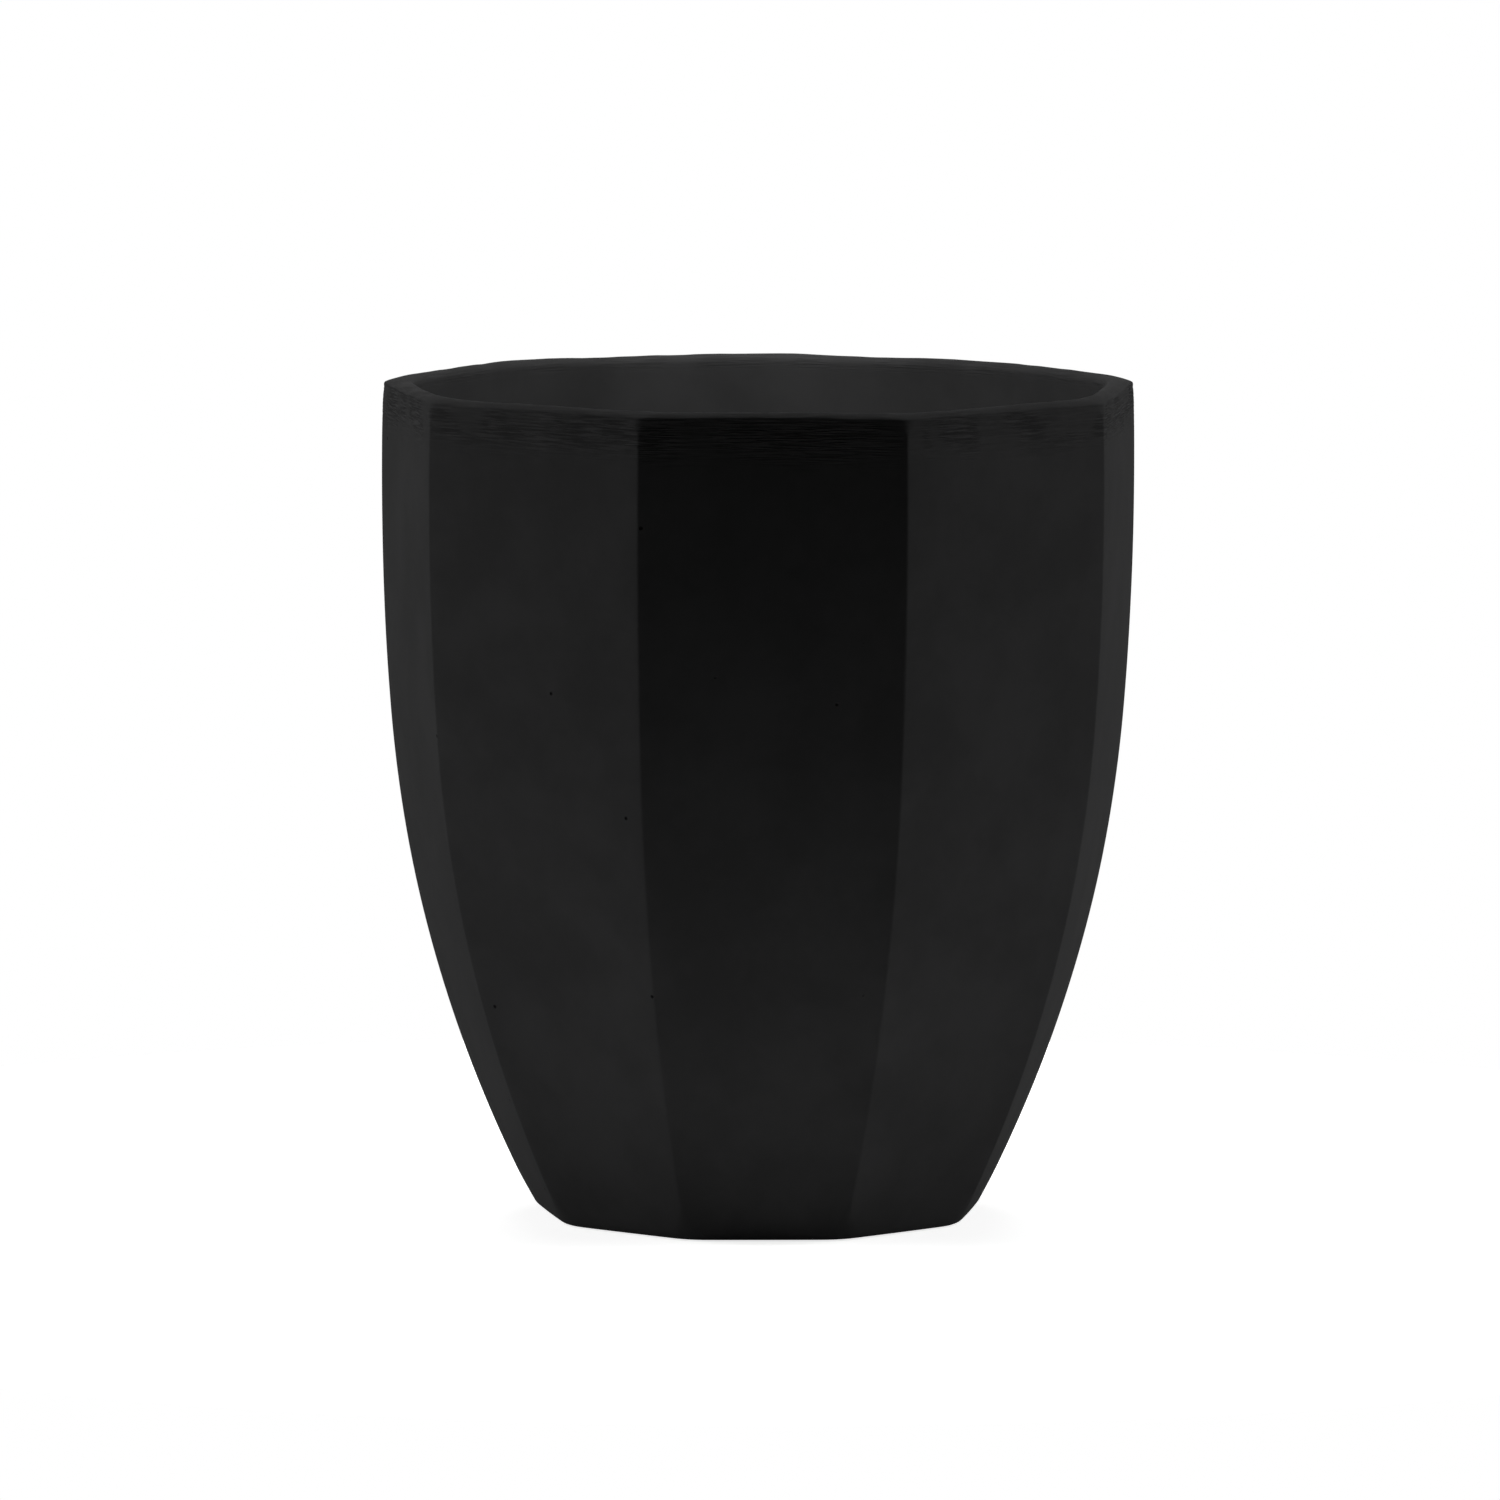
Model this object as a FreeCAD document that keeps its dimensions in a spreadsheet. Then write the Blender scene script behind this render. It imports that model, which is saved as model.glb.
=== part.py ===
import FreeCAD, Part
import Sketcher
import math
import os

# An empty candle jar: one cast vessel with nine sides, an open mouth and a flat foot.
#
# Frame: millimetres, +Z up, origin in the middle of the flat foot, the front side faces -Y.
# Each side is flat across and curved up and down. The curve is two arcs that meet without
# a kink: a long one over the upper half, widest a little under the lip, and a tighter one
# that draws the side in towards the foot. A "reach" runs from the axis to the middle of a
# side, so the corners between two sides lie further out.
# The cavity is the same kind of shape, one wall inside, with soft corners and a soft floor.

SHEET = "sizes"
NODE = "jar_body"

SIZES = [
    ("jar_height", 100.0, "foot to lip"),
    ("side_count", 9, "number of sides"),
    ("belly_reach", 43.3, "axis to the middle of a side, at its widest level"),
    ("belly_level", 88.0, "height of the widest level"),
    ("upper_sweep", 373.0, "radius of the long upper arc of a side"),
    ("bend_level", 60.0, "height where the two arcs of a side meet"),
    ("foot_reach", 25.5, "axis to the middle of a side, level with the foot"),
    ("wall", 2.7, "thickness of the wall along the upper arc"),
    ("foot_wall", 4.6, "thickness that the wall grows to, level with the foot"),
    ("floor_thickness", 5.0, "foot to the floor of the cavity"),
    ("arris_round", 0.9, "rounding of the upright corners outside"),
    ("lip_round_outside", 0.75, "rounding of the outer edge of the lip"),
    ("lip_round_inside", 0.9, "rounding of the inner edge of the lip"),
    ("foot_round", 0.8, "rounding of the edge of the foot, under arris_round"),
    ("cavity_corner_round", 12.0, "rounding of the upright corners inside"),
    ("cavity_floor_round", 6.0, "rounding between the cavity's floor and its sides"),
    ("overshoot", 3.0, "how far a cutting shape runs past what it cuts"),
]
ALIASES = {alias for alias, _value, _meaning in SIZES}

WEDGE_REACH = "belly_reach + overshoot"
WEDGE_WIDTH = f"2 * ( {WEDGE_REACH} ) * tan( 180 deg / side_count )"


def make_sheet(doc):
    """Put every driving size in a spreadsheet, one to a row, under its own alias."""
    sheet = doc.addObject("Spreadsheet::Sheet", SHEET)
    for row, (alias, value, meaning) in enumerate(SIZES, start=1):
        sheet.set(f"A{row}", alias)
        sheet.set(f"B{row}", str(value))
        sheet.set(f"C{row}", meaning)
        sheet.setAlias(f"B{row}", alias)
    doc.recompute()
    return sheet


def from_sheet(formula):
    """Point each alias in a formula, whose words stand apart, at the spreadsheet."""
    words = formula.split()
    return " ".join(f"{SHEET}.{word}" if word in ALIASES else word for word in words)


def size(sheet, formula):
    """The plain value of a formula over the spreadsheet's sizes."""
    return float(sheet.evalExpression(from_sheet(formula)))


def origin_feature(body, role):
    """One of the body's own origin planes or axes."""
    return next(f for f in body.Origin.OriginFeatures if f.Role == role)


def add_sketch(body, name, plane):
    """A sketch on one of the body's own origin planes."""
    sketch = body.newObject("Sketcher::SketchObject", name)
    sketch.AttachmentSupport = [(origin_feature(body, plane), "")]
    sketch.MapMode = "FlatFace"
    return sketch


def constrain(sketch, kind, places):
    """Add a constraint that has no size."""
    sketch.addConstraint(Sketcher.Constraint(kind, *places))


def measure(sketch, kind, places, sheet, formula):
    """Add a constraint with a size, and tie that size to the spreadsheet."""
    value = size(sheet, formula)
    index = sketch.addConstraint(Sketcher.Constraint(kind, *places, value))
    sketch.setExpression(f"Constraints[{index}]", from_sheet(formula))


def add_wedge(body, sheet, bottom, top):
    """Pad one side's share of the plan: a wedge from the axis out past the front side."""
    sketch = add_sketch(body, f"{body.Name}_wedge_outline", "XY_Plane")
    sketch.setExpression("AttachmentOffset.Base.z", from_sheet(bottom))
    reach = size(sheet, WEDGE_REACH)
    half_width = size(sheet, WEDGE_WIDTH) / 2
    axis = FreeCAD.Vector(0, 0, 0)
    left = FreeCAD.Vector(-half_width, -reach, 0)
    right = FreeCAD.Vector(half_width, -reach, 0)
    corners = [axis, left, right, axis]
    sketch.addGeometry([Part.LineSegment(*ends) for ends in zip(corners, corners[1:])], False)
    constrain(sketch, "Coincident", (0, 1, -1, 1))
    constrain(sketch, "Coincident", (0, 2, 1, 1))
    constrain(sketch, "Coincident", (1, 2, 2, 1))
    constrain(sketch, "Coincident", (2, 2, -1, 1))
    constrain(sketch, "Symmetric", (1, 1, 1, 2, -2))
    measure(sketch, "DistanceY", (1, 1, -1, 1), sheet, WEDGE_REACH)
    measure(sketch, "DistanceX", (1, 1, 1, 2), sheet, WEDGE_WIDTH)
    pad = body.newObject("PartDesign::Pad", f"{body.Name}_wedge")
    pad.Profile = sketch
    pad.setExpression("Length", from_sheet(f"{top} - ( {bottom} )"))


def side_arcs(sheet, inset, foot, top):
    """The two arcs of a side and the points where they start, meet and end, drawn at -Y."""
    upper_radius = size(sheet, f"upper_sweep - ( {inset} )")
    centre_reach = size(sheet, "upper_sweep - belly_reach")
    upper_centre = FreeCAD.Vector(centre_reach, size(sheet, "belly_level"), 0)

    def on_upper(level):
        rise = level - upper_centre.y
        return FreeCAD.Vector(upper_centre.x - math.sqrt(upper_radius**2 - rise**2), level, 0)

    rim_point = on_upper(size(sheet, top))
    bend_point = on_upper(size(sheet, "bend_level"))
    foot_point = FreeCAD.Vector(-size(sheet, foot), 0, 0)
    inward = (upper_centre - bend_point).normalize()
    chord = foot_point - bend_point
    lower_radius = chord.dot(chord) / (2 * chord.dot(inward))
    lower_centre = bend_point + inward * lower_radius

    def arc(centre, radius, start, end):
        circle = Part.Circle(centre, FreeCAD.Vector(0, 0, 1), radius)
        return Part.ArcOfCircle(circle, circle.parameter(start), circle.parameter(end))

    upper = arc(upper_centre, upper_radius, rim_point, bend_point)
    lower = arc(lower_centre, lower_radius, bend_point, foot_point)
    return upper, lower, rim_point, foot_point


def add_side_cut(body, sheet, inset, foot, top):
    """Cut the wedge back to the side's two arcs."""
    sketch = add_sketch(body, f"{body.Name}_side_outline", "YZ_Plane")
    # edges of the outline: 0 upper arc, 1 lower arc, 2 foot level, 3 outside, 4 top level
    # points of an edge: 1 start, 2 end, 3 centre; edge -1 is the axis through the foot
    upper, lower, rim_point, foot_point = side_arcs(sheet, inset, foot, top)
    outside = f"{WEDGE_REACH} + overshoot"
    low_corner = FreeCAD.Vector(-size(sheet, outside), 0, 0)
    high_corner = FreeCAD.Vector(low_corner.x, rim_point.y, 0)
    sketch.addGeometry(
        [
            upper,
            lower,
            Part.LineSegment(foot_point, low_corner),
            Part.LineSegment(low_corner, high_corner),
            Part.LineSegment(high_corner, rim_point),
        ],
        False,
    )
    constrain(sketch, "Tangent", (0, 2, 1, 1))
    constrain(sketch, "Coincident", (1, 2, 2, 1))
    constrain(sketch, "Coincident", (2, 2, 3, 1))
    constrain(sketch, "Coincident", (3, 2, 4, 1))
    constrain(sketch, "Coincident", (4, 2, 0, 1))
    constrain(sketch, "Horizontal", (2,))
    constrain(sketch, "Vertical", (3,))
    constrain(sketch, "Horizontal", (4,))
    constrain(sketch, "PointOnObject", (1, 2, -1))
    measure(sketch, "DistanceX", (-1, 1, 0, 3), sheet, "upper_sweep - belly_reach")
    measure(sketch, "DistanceY", (-1, 1, 0, 3), sheet, "belly_level")
    measure(sketch, "Radius", (0,), sheet, f"upper_sweep - ( {inset} )")
    measure(sketch, "DistanceY", (-1, 1, 0, 2), sheet, "bend_level")
    measure(sketch, "DistanceX", (1, 2, -1, 1), sheet, foot)
    measure(sketch, "DistanceX", (3, 1, -1, 1), sheet, outside)
    measure(sketch, "DistanceY", (-1, 1, 0, 1), sheet, top)
    pocket = body.newObject("PartDesign::Pocket", f"{body.Name}_side_cut")
    pocket.Profile = sketch
    pocket.Type = "ThroughAll"
    pocket.SideType = "Symmetric"


def repeat_wedge(body):
    """Repeat the finished wedge all the way round the axis, so that it closes on itself."""
    pattern = body.newObject("PartDesign::PolarPattern", f"{body.Name}_sides")
    pattern.TransformMode = "Whole shape"
    pattern.Axis = (origin_feature(body, "Z_Axis"), [""])
    pattern.Angle = 360
    pattern.setExpression("Occurrences", from_sheet("side_count"))
    body.Tip = pattern
    return pattern


def add_fillet(body, base, name, edge_names, radius):
    """Round the named edges of the base feature, with a radius from the spreadsheet."""
    if not edge_names:
        raise ValueError(f"{name}: no edge to round")
    fillet = body.newObject("PartDesign::Fillet", name)
    fillet.Base = (base, edge_names)
    fillet.setExpression("Radius", from_sheet(radius))
    body.Tip = fillet
    body.Document.recompute()
    return fillet


def edges_where(feature, test):
    """Names of the feature's edges that pass the test."""
    return [f"Edge{i}" for i, edge in enumerate(feature.Shape.Edges, start=1) if test(edge)]


def climbs(rise):
    """A test for edges that climb by more than this, such as the corners between sides."""
    return lambda edge: edge.BoundBox.ZLength > rise


def lies_at(level):
    """A test for edges or faces that lie in the horizontal plane at this level."""
    return lambda item: max(abs(item.BoundBox.ZMin - level), abs(item.BoundBox.ZMax - level)) < 1e-4


def mouth_edges(feature, level):
    """Names of the edges where the top of the lip turns down into the cavity."""
    lip_face = next(filter(lies_at(level), feature.Shape.Faces))
    outline = lip_face.OuterWire.Edges
    inner = [edge for edge in lip_face.Edges if not any(edge.isSame(other) for other in outline)]
    return edges_where(feature, lambda edge: any(edge.isSame(other) for other in inner))


def build_faceted(doc, sheet, name, inset, foot, bottom, top):
    """A faceted body: one wedge, cut to the curve of a side and repeated round the axis."""
    body = doc.addObject("PartDesign::Body", name)
    add_wedge(body, sheet, bottom, top)
    doc.recompute()
    add_side_cut(body, sheet, inset, foot, top)
    doc.recompute()
    sides = repeat_wedge(body)
    doc.recompute()
    return body, sides


def build_cavity(doc, sheet):
    """The space inside the jar, as a solid that runs out through the mouth."""
    body, sides = build_faceted(
        doc,
        sheet,
        "cavity",
        inset="wall",
        foot="foot_reach - foot_wall",
        bottom="floor_thickness",
        top="jar_height + overshoot",
    )
    corner_edges = edges_where(sides, climbs(size(sheet, "cavity_floor_round")))
    corners = add_fillet(body, sides, "cavity_corners", corner_edges, "cavity_corner_round")
    floor_edges = edges_where(corners, lies_at(size(sheet, "floor_thickness")))
    add_fillet(body, corners, "cavity_floor", floor_edges, "cavity_floor_round")
    return body


def build_jar(doc, sheet):
    """The vessel: the outside with its edges rounded, less the cavity, then the mouth's edge."""
    body, sides = build_faceted(
        doc,
        sheet,
        NODE,
        inset="0",
        foot="foot_reach",
        bottom="0",
        top="jar_height",
    )
    corner_edges = edges_where(sides, climbs(size(sheet, "foot_round")))
    arrises = add_fillet(body, sides, "arrises", corner_edges, "arris_round")
    foot = add_fillet(body, arrises, "foot_edge", edges_where(arrises, lies_at(0)), "foot_round")
    lip_level = size(sheet, "jar_height")
    add_fillet(body, foot, "lip_outside", edges_where(foot, lies_at(lip_level)), "lip_round_outside")

    cavity = build_cavity(doc, sheet)
    hollow = body.newObject("PartDesign::Boolean", "hollow")
    hollow.Type = "Cut"
    hollow.setObjects([cavity])
    body.Tip = hollow
    doc.recompute()
    add_fillet(body, hollow, "lip_inside", mouth_edges(hollow, lip_level), "lip_round_inside")
    body.Label = NODE
    return body


def check(doc, body):
    """Stop if anything failed to build, or if the jar isn't one sound hollow solid."""
    for item in doc.Objects:
        if {"Invalid", "Error"} & set(item.State):
            raise RuntimeError(f"{item.Name} failed: {item.State}")
        if hasattr(item, "Shape") and (item.Shape.isNull() or not item.Shape.isValid()):
            raise RuntimeError(f"{item.Name} has no valid shape")
    if len(body.Shape.Solids) != 1:
        raise RuntimeError(f"{body.Name} is {len(body.Shape.Solids)} solids")


def main():
    doc = FreeCAD.newDocument("candle_jar")
    sheet = make_sheet(doc)
    jar = build_jar(doc, sheet)
    check(doc, jar)
    os.makedirs("parts", exist_ok=True)
    jar.Shape.exportStep(f"parts/{jar.Label}.step")
    print(f"{jar.Label}: {jar.Shape.Volume / 1000:.1f} cm3 of material")


main()
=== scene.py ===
import math

import bpy
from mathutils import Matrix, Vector


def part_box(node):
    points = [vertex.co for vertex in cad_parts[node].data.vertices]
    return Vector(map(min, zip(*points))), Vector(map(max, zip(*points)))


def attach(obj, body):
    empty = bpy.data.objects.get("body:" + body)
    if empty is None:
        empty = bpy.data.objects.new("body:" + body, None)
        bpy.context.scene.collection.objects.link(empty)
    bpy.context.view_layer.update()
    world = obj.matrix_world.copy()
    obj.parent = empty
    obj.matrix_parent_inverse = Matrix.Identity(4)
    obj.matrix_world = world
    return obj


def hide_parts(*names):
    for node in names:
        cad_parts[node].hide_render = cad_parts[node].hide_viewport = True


# The looks of an empty candle jar: one cast, matt black vessel with nine sides.
#
# Metres, +Z up, origin in the middle of the foot, the front side faces -Y. "Reach" is the
# distance from the axis to the middle of a side, and "level" is the height above the foot.
# jar_section() draws the jar's wall as one line from the middle of the foot, over the lip,
# to the middle of the cavity's floor. The jar_sides tree turns that line round the axis
# into nine sides, and gives them the unevenness of a piece finished by hand.

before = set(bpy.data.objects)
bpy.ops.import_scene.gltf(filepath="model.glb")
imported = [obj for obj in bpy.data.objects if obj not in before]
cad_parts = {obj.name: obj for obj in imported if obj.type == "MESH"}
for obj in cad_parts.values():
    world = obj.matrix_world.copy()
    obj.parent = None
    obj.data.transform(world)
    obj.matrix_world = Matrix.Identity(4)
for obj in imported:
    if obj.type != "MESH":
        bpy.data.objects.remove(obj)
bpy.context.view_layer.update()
jar_low, jar_high = (Vector(corner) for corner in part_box("jar_body"))

MM = 0.001

# The vessel, as it is built
HEIGHT = jar_high.z
BELLY_REACH = -jar_low.y
BELLY_LEVEL = 88 * MM
UPPER_SWEEP = 373 * MM
BEND_LEVEL = 60 * MM
FOOT_REACH = 25.5 * MM
WALL = 2.7 * MM
FOOT_WALL = 4.6 * MM
FLOOR = 5 * MM
FOOT_ROUND = 1.6 * MM
LIP_SHOULDER = 2.0 * MM
LIP_EDGE = 0.3 * MM
LIP_EDGE_TURN = math.radians(50)
LIP_ROUND_INSIDE = 1.0 * MM
CAVITY_FLOOR_ROUND = 6 * MM
SIDES = 9

# Rounding of the corners between sides, seen from above
ARRIS = 0.75 * MM
ARRIS_AT_FOOT = 6.5 * MM
ARRIS_AT_LIP = 2.5 * MM
LIP_CORNER = 16.0 * MM
CAVITY_CORNER = 18.0 * MM

# What finishing by hand left
TOOLED_BAND = 7.5 * MM
FULLY_TOOLED = 0.35 * TOOLED_BAND
TOOL_MARK_PITCH = 0.28 * MM
TOOL_MARK_LENGTH = 4 * MM
TOOL_MARK_DEPTH = 0.045 * MM
WAVINESS = 0.05 * MM
LIP_DIP = 0.25 * MM
LIP_LOW_FRONT = 0.28 * MM
CROWN = 0.10 * MM
SEED = 4.0

# Where the rubbing reached, as heights above the foot or depths below the lip
RUBBED_FOOT = 4.5 * MM
RUBBED_LIP = 3 * MM
LIP_TOP = 1 * MM
UNEVEN_LIP = 7 * MM
LIP_TOOLING = 0.4

# Sizes of the lumps in the unevenness: across and up, or only along the lip
SWELL_ACROSS = 24 * MM
SWELL_UP = 30 * MM
DIP_LENGTH = 26 * MM
NICK_LENGTH = 5 * MM
NICK_SHARE = 0.3

# The range that noise keeps to, nearly all of the time
NOISE_LOW = 0.3
NOISE_HIGH = 0.7

# Added to the seed, so that no two kinds of unevenness follow each other
MARK_SEED = 7.3
DIP_SEED = 3.1
NICK_SEED = 5.9

# Steps of the mesh: along each stretch of the section, and round the axis
STEPS = {
    "foot": 14,
    "foot_edge": 8,
    "lower_side": 48,
    "upper_side": 26,
    "tooled_band": 56,
    "lip_edge": 5,
    "shoulder": 7,
    "mouth": 7,
    "inner_upper_side": 34,
    "inner_lower_side": 36,
    "heel": 10,
    "floor": 12,
}
COLUMNS_ACROSS_SIDE = 27
COLUMNS_ROUND_CORNER = 6
LARGEST_CORNER_SHARE = 0.6
WELD = 0.001 * MM

# The cast body's finish: clouds of tone, grain with lumps under it, and pinholes with painted
# shade in them
BODY_COLOUR = (0.0282, 0.0282, 0.0285)
SPECULAR_LEVEL = 0.001
CLOUD_SIZE = 14 * MM
CLOUD_DARKEST = 0.90
CLOUD_PALEST = 1.10
CLOUD_SMOOTHEST = 0.74
CLOUD_ROUGHEST = 0.84
GRAIN_SIZE = 0.35 * MM
GRAIN_SHARE = 0.55
GRAIN_RELIEF = 0.012 * MM
LUMPS_PER_GRAIN = 0.12
PINHOLE_SPACING = 6.5 * MM
PINHOLE_RADIUS = 0.28 * MM
PINHOLE_BOTTOM = 0.45
PINHOLE_DEPTH = 0.12 * MM
# How much darker a pinhole's colour is painted: painted shade in the recess, not a different
# material
PINHOLE_PAINTED_SHADE = 0.8
PINHOLE_ROUGHENS = 0.2

# The finish where it was worked: tool marks in patches, and the foot's worn edge
FINE_MARK_PITCH = 0.7 * TOOL_MARK_PITCH
FINE_MARK_LOW = 0.36
FINE_MARK_HIGH = 0.64
FINE_MARK_RELIEF = 0.085 * MM
FINE_MARK_TONE = 0.6
PATCH_SCALE = 0.7
PATCH_LOW = 0.40
PATCH_HIGH = 0.58
PATCH_FAINTEST = 0.20
WORN_FOOT_FULL = 0.05 * MM
WORN_FOOT_END = 0.6 * MM
WORN_FOOT_TONE = 0.3
WORN_FOOT_ROUGHENS = 0.12

# Studio
FLOOR_COLOUR = (0.8, 0.8, 0.8, 1.0)
WHITE = (1.0, 1.0, 1.0, 1.0)
FLOOR_RADIUS = 0.16
FLOOR_CORNERS = 96
FLOOR_GAP = 0.05 * MM
FLOOR_GLOW = 0.75
WORLD_LEVEL = 0.02


# ---------------------------------------------------------------- wiring of node trees


class Field:
    """A number that varies over a surface. Arithmetic on it adds Math nodes to its tree."""

    def __init__(self, wiring, socket):
        self.wiring = wiring
        self.socket = socket

    def __add__(self, other):
        return self.wiring.math("ADD", self, other)

    def __radd__(self, other):
        return self.wiring.math("ADD", other, self)

    def __sub__(self, other):
        return self.wiring.math("SUBTRACT", self, other)

    def __rsub__(self, other):
        return self.wiring.math("SUBTRACT", other, self)

    def __mul__(self, other):
        return self.wiring.math("MULTIPLY", self, other)

    def __rmul__(self, other):
        return self.wiring.math("MULTIPLY", other, self)

    def __truediv__(self, other):
        return self.wiring.math("DIVIDE", self, other)

    def __rtruediv__(self, other):
        return self.wiring.math("DIVIDE", other, self)


class Wiring:
    """Adds nodes to a tree and joins them up, so that a rule reads as a few short lines."""

    def __init__(self, tree):
        self.tree = tree

    def feed(self, socket, value):
        """Join a socket to a field or another socket, or set it to a plain value."""
        if isinstance(value, Field):
            value = value.socket
        if isinstance(value, bpy.types.NodeSocket):
            self.tree.links.new(value, socket)
        else:
            socket.default_value = value

    def add(self, kind, inputs=None, **settings):
        node = self.tree.nodes.new(kind)
        for name, value in settings.items():
            setattr(node, name, value)
        for key, value in (inputs or {}).items():
            self.feed(node.inputs[key], value)
        return node

    def field(self, node, output=0):
        return Field(self, node.outputs[output])

    def math(self, operation, *values):
        node = self.tree.nodes.new("ShaderNodeMath")
        node.operation = operation
        for socket, value in zip(node.inputs, values):
            self.feed(socket, value)
        return Field(self, node.outputs[0])

    def vector(self, x, y, z):
        return self.add("ShaderNodeCombineXYZ", {"X": x, "Y": y, "Z": z}).outputs[0]

    def scaled(self, vector, factor):
        """The vector times one factor, which may vary."""
        node = self.add("ShaderNodeVectorMath", {0: vector}, operation="SCALE")
        self.feed(node.inputs["Scale"], factor)
        return node.outputs[0]

    def split(self, vector):
        node = self.add("ShaderNodeSeparateXYZ", {0: vector})
        return [self.field(node, axis) for axis in "XYZ"]

    def ramp(self, value, low, high, to_low=0.0, to_high=1.0):
        """Goes smoothly from to_low to to_high as value goes from low to high."""
        node = self.add("ShaderNodeMapRange", interpolation_type="SMOOTHSTEP")
        for name, amount in (
            ("Value", value),
            ("From Min", low),
            ("From Max", high),
            ("To Min", to_low),
            ("To Max", to_high),
        ):
            self.feed(node.inputs[name], amount)
        return self.field(node, "Result")

    def noise(self, vector, scale, detail=2.0, roughness=0.5):
        inputs = {"Vector": vector, "Scale": scale, "Detail": detail, "Roughness": roughness}
        return self.field(self.add("ShaderNodeTexNoise", inputs), 0)


def add_inputs(tree, sockets):
    """Give a tree its named inputs: (name, kind of socket, value)."""
    for name, kind, value in sockets:
        socket = tree.interface.new_socket(name, in_out="INPUT", socket_type=kind)
        if value is not None:
            socket.default_value = value


def add_outputs(tree, sockets):
    """Give a tree its named outputs: (name, kind of socket)."""
    for name, kind in sockets:
        tree.interface.new_socket(name, in_out="OUTPUT", socket_type=kind)


# ---------------------------------------------------------------- the jar's section


def arc(centre, radius, start, end, steps):
    """Points along an arc, from one angle to the other, in (reach, level)."""
    angles = [start + (end - start) * k / steps for k in range(steps + 1)]
    return [(centre[0] + radius * math.cos(a), centre[1] + radius * math.sin(a)) for a in angles]


def side_circles(inset, foot_reach):
    """(centre, radius) of the upper and lower arc of a side, which meet at BEND_LEVEL."""
    upper_radius = UPPER_SWEEP - inset
    upper = (BELLY_REACH - UPPER_SWEEP, BELLY_LEVEL)
    drop = math.asin((BEND_LEVEL - BELLY_LEVEL) / upper_radius)
    bend = (upper[0] + upper_radius * math.cos(drop), BEND_LEVEL)
    chord = (foot_reach - bend[0], -BEND_LEVEL)
    along = -chord[0] * math.cos(drop) - chord[1] * math.sin(drop)
    lower_radius = (chord[0] ** 2 + chord[1] ** 2) / (2 * along)
    lower = (bend[0] - lower_radius * math.cos(drop), bend[1] - lower_radius * math.sin(drop))
    return (upper, upper_radius), (lower, lower_radius), drop


def rolled(circle, radius, level):
    """Centre of a ball of this radius that touches a side's arc from its hollow side and
    whose centre is at this level, with the angle at which it touches. A negative radius
    touches the arc from its round side."""
    centre, side_radius = circle
    angle = math.asin((level - centre[1]) / (side_radius - radius))
    reach = centre[0] + (side_radius - radius) * math.cos(angle)
    return (reach, level), angle


def jar_section():
    """The wall's line, foot to lip to floor: (reach, level, corner rounding, tooling)."""
    upper, lower, bend = side_circles(0, FOOT_REACH)
    inner_upper, inner_lower, inner_bend = side_circles(WALL, FOOT_REACH - FOOT_WALL)
    down = -math.pi / 2
    up = math.pi / 2

    foot_centre, foot_angle = rolled(lower, FOOT_ROUND, FOOT_ROUND)
    step_in = LIP_SHOULDER - LIP_EDGE
    edge_level = HEIGHT - LIP_SHOULDER + step_in * math.sin(LIP_EDGE_TURN)
    edge_centre, lip_angle = rolled(upper, LIP_EDGE, edge_level)
    shoulder_centre = (edge_centre[0] - step_in * math.cos(LIP_EDGE_TURN), HEIGHT - LIP_SHOULDER)
    mouth_level = HEIGHT - LIP_ROUND_INSIDE
    mouth_centre, mouth_angle = rolled(inner_upper, -LIP_ROUND_INSIDE, mouth_level)
    heel_level = FLOOR + CAVITY_FLOOR_ROUND
    heel_centre, heel_angle = rolled(inner_lower, CAVITY_FLOOR_ROUND, heel_level)

    band_angle = math.asin((HEIGHT - TOOLED_BAND - upper[0][1]) / upper[1])
    foot_steps = STEPS["foot"]
    floor_steps = STEPS["floor"]

    foot = [(foot_centre[0] * k / foot_steps, 0.0) for k in range(foot_steps)]
    foot_edge = arc(foot_centre, FOOT_ROUND, down, foot_angle, STEPS["foot_edge"])
    lower_side = arc(*lower, foot_angle, bend, STEPS["lower_side"])
    upper_side = arc(*upper, bend, band_angle, STEPS["upper_side"])
    band = arc(*upper, band_angle, lip_angle, STEPS["tooled_band"])
    lip = arc(edge_centre, LIP_EDGE, lip_angle, LIP_EDGE_TURN, STEPS["lip_edge"])
    lip += arc(shoulder_centre, LIP_SHOULDER, LIP_EDGE_TURN, up, STEPS["shoulder"])[1:]
    mouth = arc(mouth_centre, LIP_ROUND_INSIDE, up, math.pi + mouth_angle, STEPS["mouth"])
    inner_upper_side = arc(*inner_upper, mouth_angle, inner_bend, STEPS["inner_upper_side"])
    inner_lower_side = arc(*inner_lower, inner_bend, heel_angle, STEPS["inner_lower_side"])
    heel = arc(heel_centre, CAVITY_FLOOR_ROUND, heel_angle, down, STEPS["heel"])
    floor = [(heel_centre[0] * (1 - k / floor_steps), FLOOR) for k in range(1, floor_steps + 1)]

    outside = foot + foot_edge + lower_side[1:] + upper_side[1:] + band[1:]
    inside = inner_upper_side[1:] + inner_lower_side[1:] + heel[1:] + floor
    rows = [(*point, corner_outside(*point), tooling(point[1])) for point in outside]
    rows += [(*point, corner_on_lip(point[0]), LIP_TOOLING) for point in lip[1:] + mouth]
    rows += [(*point, held(CAVITY_CORNER, point[0]), 0.0) for point in inside]
    return rows


def between(value, low, high):
    """How far value has come from low to high, held within 0 and 1 and eased at both ends."""
    part = min(max((value - low) / (high - low), 0.0), 1.0)
    return part * part * (3 - 2 * part)


def held(rounding, reach):
    """A corner's rounding, held below the reach where the body is narrow."""
    return min(rounding, LARGEST_CORNER_SHARE * reach)


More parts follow.
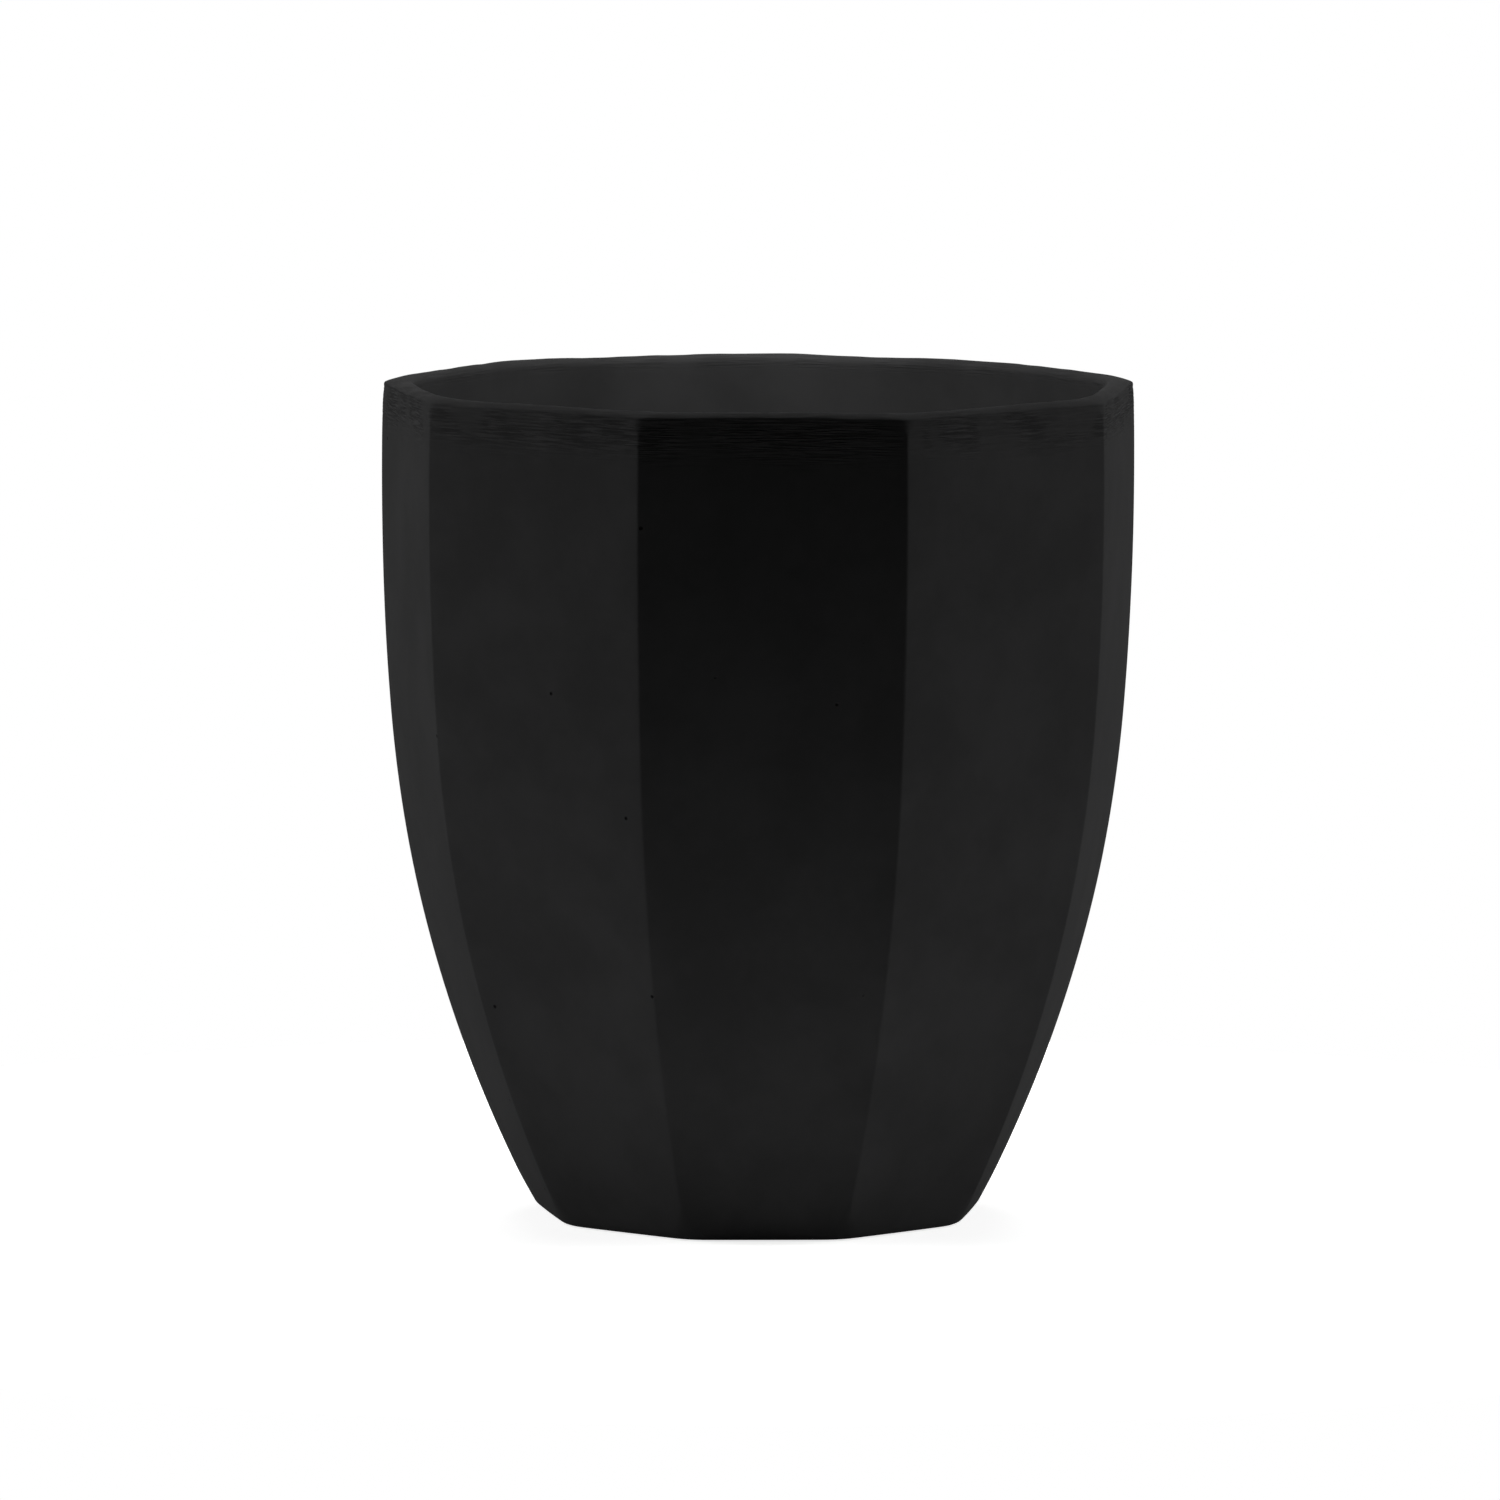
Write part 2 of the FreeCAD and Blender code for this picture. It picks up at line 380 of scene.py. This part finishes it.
def corner_outside(reach, level):
    """Corners are crisp up the side, and softer where the foot and the lip were rubbed."""
    at_foot = 1 - between(level, 0.0, RUBBED_FOOT)
    at_lip = between(level, HEIGHT - RUBBED_LIP, HEIGHT - LIP_TOP)
    rounding = ARRIS + (ARRIS_AT_FOOT - ARRIS) * at_foot + (ARRIS_AT_LIP - ARRIS) * at_lip
    return held(rounding, reach)


def corner_on_lip(reach):
    """Over the lip the corners open up, from the side's to the cavity's."""
    outer = BELLY_REACH
    middle = BELLY_REACH - WALL / 2
    inner = BELLY_REACH - WALL
    if reach > middle:
        return ARRIS_AT_LIP + (LIP_CORNER - ARRIS_AT_LIP) * between(reach, outer, middle)
    return LIP_CORNER + (CAVITY_CORNER - LIP_CORNER) * between(reach, middle, inner)


def tooling(level):
    """How strongly the side was tooled: most just under the lip, none below the band."""
    return between(level, HEIGHT - TOOLED_BAND, HEIGHT - FULLY_TOOLED)


def section_object():
    """The section as a string of vertices that carry the corner rounding and the tooling."""
    rows = jar_section()
    mesh = bpy.data.meshes.new("jar_section")
    mesh.from_pydata([(row[0], 0.0, row[1]) for row in rows], [], [])
    for place, name in ((2, "corner_round"), (3, "tooling")):
        attribute = mesh.attributes.new(name, "FLOAT", "POINT")
        for item, row in zip(attribute.data, rows):
            item.value = row[place]
    obj = bpy.data.objects.new("jar_section", mesh)
    bpy.context.scene.collection.objects.link(obj)
    return obj


# ---------------------------------------------------------------- the jar's body

JAR_INPUTS = (
    ("Section", "NodeSocketGeometry", None),
    ("Sides", "NodeSocketInt", SIDES),
    ("Columns Across Side", "NodeSocketInt", COLUMNS_ACROSS_SIDE),
    ("Columns Round Corner", "NodeSocketInt", COLUMNS_ROUND_CORNER),
    ("Widest Reach", "NodeSocketFloat", BELLY_REACH),
    ("Crown", "NodeSocketFloat", 0.0),
    ("Waviness", "NodeSocketFloat", 0.0),
    ("Lip Dip", "NodeSocketFloat", 0.0),
    ("Lip Low Front", "NodeSocketFloat", 0.0),
    ("Lip Level", "NodeSocketFloat", HEIGHT),
    ("Mark Depth", "NodeSocketFloat", 0.0),
    ("Mark Pitch", "NodeSocketFloat", TOOL_MARK_PITCH),
    ("Mark Length", "NodeSocketFloat", TOOL_MARK_LENGTH),
    ("Seed", "NodeSocketFloat", 0.0),
    ("Material", "NodeSocketMaterial", None),
)


def read_section(wiring, section, row, value, kind):
    """What a point of the section carries, for each vertex that lies in its row."""
    node = wiring.add("GeometryNodeSampleIndex", data_type=kind, domain="POINT")
    wiring.feed(node.inputs["Geometry"], section)
    wiring.feed(node.inputs["Value"], value)
    wiring.feed(node.inputs["Index"], row)
    return node.outputs[0]


def read_section_number(wiring, section, row, name):
    """The same for a number that the section carries under a name."""
    inputs = {"Name": name}
    named = wiring.add("GeometryNodeInputNamedAttribute", inputs, data_type="FLOAT")
    return Field(wiring, read_section(wiring, section, row, named.outputs[0], "FLOAT"))


def seeded_noise(wiring, place, across, upward, detail, seed):
    """Noise from 0 to 1 whose lumps are this long across and this high."""
    x, y, z = wiring.split(place)
    stretched = wiring.vector(x / across, y / across, z / upward)
    node = wiring.add("ShaderNodeTexNoise", noise_dimensions="4D")
    for name, value in (("Vector", stretched), ("W", seed), ("Scale", 1.0), ("Detail", detail)):
        wiring.feed(node.inputs[name], value)
    return wiring.ramp(Field(wiring, node.outputs[0]), NOISE_LOW, NOISE_HIGH)


def jar_sides_tree():
    """Turns a section into a body with flat sides, crowned and uneven by hand."""
    tree = bpy.data.node_groups.new("jar_sides", "GeometryNodeTree")
    add_inputs(tree, JAR_INPUTS)
    add_outputs(tree, [("Body", "NodeSocketGeometry")])
    wiring = Wiring(tree)
    given = tree.nodes.new("NodeGroupInput").outputs
    section = given["Section"]
    number = {
        name: Field(wiring, given[name])
        for name, kind, _value in JAR_INPUTS
        if kind in ("NodeSocketInt", "NodeSocketFloat")
    }
    flats = number["Columns Across Side"]
    turns = number["Columns Round Corner"]
    per_side = flats + turns
    columns = number["Sides"] * per_side + 1

    # A sheet with a row for each point of the section and a column for each step round
    size = wiring.add("GeometryNodeAttributeDomainSize", {"Geometry": section}, component="MESH")
    sheet = wiring.add("GeometryNodeMeshGrid", {
        "Size X": 1.0,
        "Size Y": 1.0,
        "Vertices X": size.outputs["Point Count"],
        "Vertices Y": columns,
    })
    index = wiring.field(wiring.add("GeometryNodeInputIndex"))
    row = wiring.math("FLOOR", (index + 0.5) / columns)
    column = index - row * columns
    side = wiring.math("FLOOR", (column + 0.5) / per_side)
    step = column - side * per_side

    position = wiring.add("GeometryNodeInputPosition").outputs[0]
    reach, _zero, level = wiring.split(
        read_section(wiring, section, row, position, "FLOAT_VECTOR"))
    rounding = read_section_number(wiring, section, row, "corner_round")
    tooled = read_section_number(wiring, section, row, "tooling")

    # Across a side first, then round the corner to the next one
    half_turn = math.pi / number["Sides"]
    across = wiring.math("MINIMUM", step, flats) / flats * 2.0 - 1.0
    corner_turn = wiring.math("MAXIMUM", step - flats, 0.0) / turns * 2.0 * half_turn
    inner_reach = reach - rounding
    flat_half = inner_reach * wiring.math("TANGENT", half_turn)
    along = across * flat_half + rounding * wiring.math("SINE", corner_turn)
    outward = inner_reach + rounding * wiring.math("COSINE", corner_turn)
    heading = side * 2.0 * half_turn - math.pi / 2
    cosine = wiring.math("COSINE", heading)
    sine = wiring.math("SINE", heading)
    x = outward * cosine - along * sine
    y = outward * sine + along * cosine
    regular = wiring.vector(x, y, level)

    # Unevenness only takes material away, so the body stays in its box
    seed = number["Seed"]
    widest = number["Widest Reach"]
    swell = seeded_noise(wiring, regular, SWELL_ACROSS, SWELL_UP, 1.0, seed)
    marks = seeded_noise(
        wiring, regular, number["Mark Length"], number["Mark Pitch"], 2.0, seed + MARK_SEED)
    shrink = reach / widest
    inward = number["Crown"] * across * across + number["Waviness"] * swell
    inward = (inward + number["Mark Depth"] * marks * tooled) * shrink
    facing = heading + corner_turn
    lip_level = number["Lip Level"]
    dip = seeded_noise(wiring, regular, DIP_LENGTH, 1.0, 1.0, seed + DIP_SEED)
    nick = seeded_noise(wiring, regular, NICK_LENGTH, 1.0, 1.0, seed + NICK_SEED)
    low_front = number["Lip Low Front"] * wiring.ramp(y, -1.0 * widest, widest, 1.0, 0.0)
    lowered = number["Lip Dip"] * (dip + nick * NICK_SHARE) + low_front
    near_lip = wiring.ramp(level, lip_level - UNEVEN_LIP, lip_level)
    uneven = wiring.vector(
        x - inward * wiring.math("COSINE", facing),
        y - inward * wiring.math("SINE", facing),
        level - lowered * near_lip,
    )

    body = wiring.add("GeometryNodeSetPosition", {
        "Geometry": sheet.outputs[0],
        "Position": uneven,
    })
    marked = wiring.add("GeometryNodeStoreNamedAttribute", {
        "Geometry": body.outputs[0],
        "Name": "tooling",
        "Value": tooled,
    }, data_type="FLOAT", domain="POINT")
    welded = wiring.add(
        "GeometryNodeMergeByDistance", {"Geometry": marked.outputs[0], "Distance": WELD})
    outwards = wiring.add("GeometryNodeFlipFaces", {"Mesh": welded.outputs[0]})
    smooth = wiring.add("GeometryNodeSetShadeSmooth", {"Geometry": outwards.outputs[0]})
    real = wiring.add("GeometryNodeRealizeInstances", {"Geometry": smooth.outputs[0]})
    dressed = wiring.add("GeometryNodeSetMaterial", {
        "Geometry": real.outputs[0],
        "Material": given["Material"],
    })
    out = tree.nodes.new("NodeGroupOutput")
    tree.links.new(dressed.outputs[0], out.inputs["Body"])
    return tree


def grown(obj, tree, values, name):
    """Run a tree on an object and give back the result as a plain mesh object."""
    modifier = obj.modifiers.new("grow", "NODES")
    modifier.node_group = tree
    for item in tree.interface.items_tree:
        if item.in_out == "INPUT" and item.name in values:
            modifier[item.identifier] = values[item.name]
    depsgraph = bpy.context.evaluated_depsgraph_get()
    mesh = bpy.data.meshes.new_from_object(obj.evaluated_get(depsgraph), depsgraph=depsgraph)
    mesh.name = name
    result = bpy.data.objects.new(name, mesh)
    bpy.context.scene.collection.objects.link(result)
    obj.modifiers.remove(modifier)
    bpy.data.objects.remove(obj)
    return result


def make_jar(material):
    """The whole jar as one mesh."""
    return grown(section_object(), jar_sides_tree(), {
        "Sides": SIDES,
        "Columns Across Side": COLUMNS_ACROSS_SIDE,
        "Columns Round Corner": COLUMNS_ROUND_CORNER,
        "Widest Reach": BELLY_REACH,
        "Crown": CROWN,
        "Waviness": WAVINESS,
        "Lip Dip": LIP_DIP,
        "Lip Low Front": LIP_LOW_FRONT,
        "Lip Level": HEIGHT,
        "Mark Depth": TOOL_MARK_DEPTH,
        "Mark Pitch": TOOL_MARK_PITCH,
        "Mark Length": TOOL_MARK_LENGTH,
        "Seed": SEED,
        "Material": material,
    }, "cast_jar")


# ---------------------------------------------------------------- finishes


def shader_group(name, inputs, outputs):
    """An empty shader node group: its tree, its wiring, and its inputs by name."""
    tree = bpy.data.node_groups.new(name, "ShaderNodeTree")
    add_inputs(tree, inputs)
    add_outputs(tree, outputs)
    wiring = Wiring(tree)
    given = tree.nodes.new("NodeGroupInput").outputs
    return tree, wiring, given


def close_group(tree, results):
    """Join the group's results to its outputs of the same names."""
    out = tree.nodes.new("NodeGroupOutput")
    for name, value in results.items():
        tree.links.new(value.socket if isinstance(value, Field) else value, out.inputs[name])


def casting_group():
    """Cloudy tone, fine grain and a few pinholes, as a cast and dried body has them."""
    tree, wiring, given = shader_group(
        "casting",
        [
            ("Place", "NodeSocketVector", None),
            ("Cloud Size", "NodeSocketFloat", CLOUD_SIZE),
            ("Grain Size", "NodeSocketFloat", GRAIN_SIZE),
            ("Pinhole Spacing", "NodeSocketFloat", PINHOLE_SPACING),
            ("Pinhole Radius", "NodeSocketFloat", PINHOLE_RADIUS),
        ],
        [("Cloud", "NodeSocketFloat"), ("Height", "NodeSocketFloat"), ("Pit", "NodeSocketFloat")],
    )
    place = given["Place"]
    names = ("Cloud Size", "Grain Size", "Pinhole Spacing", "Pinhole Radius")
    size = {name: Field(wiring, given[name]) for name in names}
    cloud_place = wiring.scaled(place, 1 / size["Cloud Size"])
    grain_place = wiring.scaled(place, 1 / size["Grain Size"])
    lump_place = wiring.scaled(place, LUMPS_PER_GRAIN / size["Grain Size"])
    cloud = wiring.noise(cloud_place, scale=1.0, detail=4.0, roughness=0.6)
    grain = wiring.noise(grain_place, scale=1.0, detail=3.0, roughness=0.55)
    lumps = wiring.noise(lump_place, scale=1.0, detail=2.0, roughness=0.5)
    height = grain * GRAIN_SHARE + lumps * (1 - GRAIN_SHARE)

    holes = wiring.add("ShaderNodeTexVoronoi", {"Scale": 1.0}, feature="F1")
    wiring.feed(holes.inputs["Vector"], wiring.scaled(place, 1 / size["Pinhole Spacing"]))
    distance = wiring.field(holes, "Distance") * size["Pinhole Spacing"]
    radius = size["Pinhole Radius"]
    pit = 1 - wiring.ramp(distance, radius * PINHOLE_BOTTOM, radius)
    close_group(tree, {"Cloud": cloud, "Height": height, "Pit": pit})
    return tree


def tooling_group():
    """Short, level marks of a rubbing tool, as strong as the body says it was tooled there."""
    tree, wiring, given = shader_group(
        "level_tooling",
        [
            ("Place", "NodeSocketVector", None),
            ("Tooling", "NodeSocketFloat", 1.0),
            ("Pitch", "NodeSocketFloat", FINE_MARK_PITCH),
            ("Length", "NodeSocketFloat", TOOL_MARK_LENGTH),
        ],
        [("Mark", "NodeSocketFloat"), ("Where", "NodeSocketFloat")],
    )
    pitch, length, tooling_here = (
        Field(wiring, given[name]) for name in ("Pitch", "Length", "Tooling"))
    x, y, z = wiring.split(given["Place"])
    stretched = wiring.vector(x / length, y / length, z / pitch)
    streaks = wiring.noise(stretched, scale=1.0, detail=3.0, roughness=0.6)
    marks = wiring.ramp(streaks, FINE_MARK_LOW, FINE_MARK_HIGH)
    patches = wiring.noise(wiring.vector(x / length, y / length, z / length), PATCH_SCALE)
    where = tooling_here * wiring.ramp(patches, PATCH_LOW, PATCH_HIGH, PATCH_FAINTEST, 1.0)
    close_group(tree, {"Mark": marks, "Where": where})
    return tree


def empty_material(name):
    """A material without nodes, and the wiring of its tree."""
    material = bpy.data.materials.new(name)
    material.use_nodes = True
    material.node_tree.nodes.clear()
    return material, Wiring(material.node_tree)


def black_body_material():
    """Matt black right through: a cast body that was rubbed at the lip and under the foot."""
    material, wiring = empty_material("cast_matt_black")
    place = wiring.add("ShaderNodeTexCoord").outputs["Object"]
    casting = wiring.add("ShaderNodeGroup", node_tree=casting_group())
    wiring.feed(casting.inputs["Place"], place)
    tooled = wiring.add("ShaderNodeGroup", node_tree=tooling_group())
    wiring.feed(tooled.inputs["Place"], place)
    cloud = wiring.field(casting, "Cloud")
    height = wiring.field(casting, "Height")
    pit = wiring.field(casting, "Pit")
    tooling_here = wiring.add("ShaderNodeAttribute", attribute_name="tooling")
    wiring.feed(tooled.inputs["Tooling"], tooling_here.outputs["Fac"])
    mark = (wiring.field(tooled, "Mark") - 0.5) * wiring.field(tooled, "Where")
    _x, _y, level = wiring.split(place)
    worn_foot = 1 - wiring.ramp(level, WORN_FOOT_FULL, WORN_FOOT_END)

    tone = wiring.ramp(cloud, NOISE_LOW, NOISE_HIGH, CLOUD_DARKEST, CLOUD_PALEST)
    tone = tone * (1 + mark * FINE_MARK_TONE + worn_foot * WORN_FOOT_TONE)
    # Painted shade: the colour is darkened in the pinholes, where shade would fall in the recess
    tone = tone * (1 - pit * PINHOLE_PAINTED_SHADE)
    colour = wiring.scaled(wiring.vector(*BODY_COLOUR), tone)
    rough = wiring.ramp(cloud, NOISE_LOW, NOISE_HIGH, CLOUD_SMOOTHEST, CLOUD_ROUGHEST)
    rough = rough + worn_foot * WORN_FOOT_ROUGHENS + pit * PINHOLE_ROUGHENS
    relief = height * GRAIN_RELIEF + mark * FINE_MARK_RELIEF - pit * PINHOLE_DEPTH
    bump = wiring.add("ShaderNodeBump", {"Strength": 1.0, "Distance": 1.0, "Height": relief})

    shader = wiring.add("ShaderNodeBsdfPrincipled", {
        "Base Color": colour,
        "Roughness": rough,
        "Normal": bump.outputs[0],
        "Specular IOR Level": SPECULAR_LEVEL,
    })
    wiring.add("ShaderNodeOutputMaterial", {"Surface": shader.outputs[0]})
    return material


# ---------------------------------------------------------------- floor, world, lamps, camera


def background_ray(wiring):
    """1 for the rays that see the white background, 0 for those that only light the jar."""
    path = wiring.add("ShaderNodeLightPath")
    camera = wiring.field(path, "Is Camera Ray")
    glossy = wiring.field(path, "Is Glossy Ray")
    transmission = wiring.field(path, "Is Transmission Ray")
    return wiring.math("MAXIMUM", wiring.math("MAXIMUM", camera, glossy), transmission)


def floor_material():
    """Pale floor that looks white in the open and still takes the shadow under the jar."""
    material, wiring = empty_material("pale_floor")
    diffuse = wiring.add("ShaderNodeBsdfDiffuse", {"Color": FLOOR_COLOUR})
    glow = wiring.add("ShaderNodeEmission", {
        "Color": WHITE,
        "Strength": background_ray(wiring) * FLOOR_GLOW,
    })
    both = wiring.add("ShaderNodeAddShader", {0: diffuse.outputs[0], 1: glow.outputs[0]})
    wiring.add("ShaderNodeOutputMaterial", {"Surface": both.outputs[0]})
    return material


def make_floor():
    """A round sheet just under the foot."""
    level = jar_low.z - FLOOR_GAP
    ring = [2 * math.pi * k / FLOOR_CORNERS for k in range(FLOOR_CORNERS)]
    points = [(FLOOR_RADIUS * math.cos(a), FLOOR_RADIUS * math.sin(a), level) for a in ring]
    mesh = bpy.data.meshes.new("floor")
    mesh.from_pydata(points, [], [tuple(range(FLOOR_CORNERS))])
    mesh.materials.append(floor_material())
    floor = bpy.data.objects.new("floor", mesh)
    bpy.context.scene.collection.objects.link(floor)


def make_world():
    """White behind the jar, and almost dark for the light that falls on it."""
    world = bpy.data.worlds.new("studio")
    world.use_nodes = True
    world.node_tree.nodes.clear()
    wiring = Wiring(world.node_tree)
    strength = wiring.math("MAXIMUM", background_ray(wiring), WORLD_LEVEL)
    background = wiring.add("ShaderNodeBackground", {"Color": WHITE, "Strength": strength})
    wiring.add("ShaderNodeOutputWorld", {"Surface": background.outputs[0]})
    bpy.context.scene.world = world


def aimed(obj, place, target):
    """Put an object in its place, turn it to face the target, and add it to the scene."""
    obj.location = place
    obj.rotation_euler = (Vector(target) - Vector(place)).to_track_quat("-Z", "Y").to_euler()
    bpy.context.scene.collection.objects.link(obj)
    return obj


def softbox(name, place, target, width, height, brightness):
    """A softbox of even brightness. Its power follows from its area."""
    light = bpy.data.lights.new(name, "AREA")
    light.shape = "RECTANGLE"
    light.size = width
    light.size_y = height
    light.energy = brightness * math.pi * width * height
    box = aimed(bpy.data.objects.new(name, light), place, target)
    box.visible_camera = False


def spot(name, place, target, radius, power, cone=math.radians(13)):
    """A narrow lamp with a soft rim."""
    light = bpy.data.lights.new(name, "SPOT")
    light.energy = power
    light.shadow_soft_size = radius
    light.spot_size = cone
    light.spot_blend = 0.6
    aimed(bpy.data.objects.new(name, light), place, target)


def make_lamps():
    """Boxes in line with the front side, which they graze, and narrow lamps for the mouth
    and for the floor in front, from where the front side takes its light."""
    for name, turn in (("left_box", -1), ("right_box", 1)):
        softbox(
            name,
            place=(turn * 0.32, -0.006, 0.16),
            target=(0.0, -0.006, 0.16),
            width=0.11,
            height=0.30,
            brightness=7.0,
        )
    softbox(
        "back_box",
        place=(0.0, 0.40, 0.22),
        target=(0.0, 0.0, 0.05),
        width=0.16,
        height=0.20,
        brightness=1.5,
    )
    softbox(
        "top_box",
        place=(0.0, 0.14, 0.45),
        target=(0.0, 0.14, 0.0),
        width=0.36,
        height=0.36,
        brightness=2.8,
    )
    for name, turn in (("mouth_lamp_left", -1), ("mouth_lamp_right", 1)):
        spot(
            name,
            place=(turn * 0.16, -0.28, 0.42),
            target=(-turn * 0.03, 0.04, 0.105),
            radius=0.015,
            power=5.8,
        )
    spot(
        "floor_lamp",
        place=(0.0, -0.25, 0.38),
        target=(0.0, -0.088, 0.0),
        radius=0.02,
        power=8.5,
    )


def make_camera():
    """Long lens, a little above the jar and a little to the left of its front side."""
    camera = bpy.data.cameras.new("camera")
    camera.lens = 309.2
    camera.sensor_width = 36.0
    camera.shift_x = -0.0063
    camera.shift_y = 0.0312
    camera.clip_start = 0.05
    camera.clip_end = 20.0
    centre = Vector((0.0, 0.0, (jar_low.z + jar_high.z) / 2))
    rise = math.radians(6.47)
    turn = math.radians(1.9)
    distance = 1.5435
    roll = math.radians(0.2)
    away = Vector((
        -math.sin(turn) * math.cos(rise),
        -math.cos(turn) * math.cos(rise),
        math.sin(rise),
    ))
    view = aimed(bpy.data.objects.new("camera", camera), centre + distance * away, centre)
    view.rotation_euler.rotate_axis("Z", roll)
    bpy.context.scene.camera = view


# ---------------------------------------------------------------- the whole scene

jar = make_jar(black_body_material())
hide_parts("jar_body")
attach(jar, "root")

make_floor()
make_world()
make_lamps()
make_camera()
bpy.context.scene.view_settings.view_transform = "Standard"
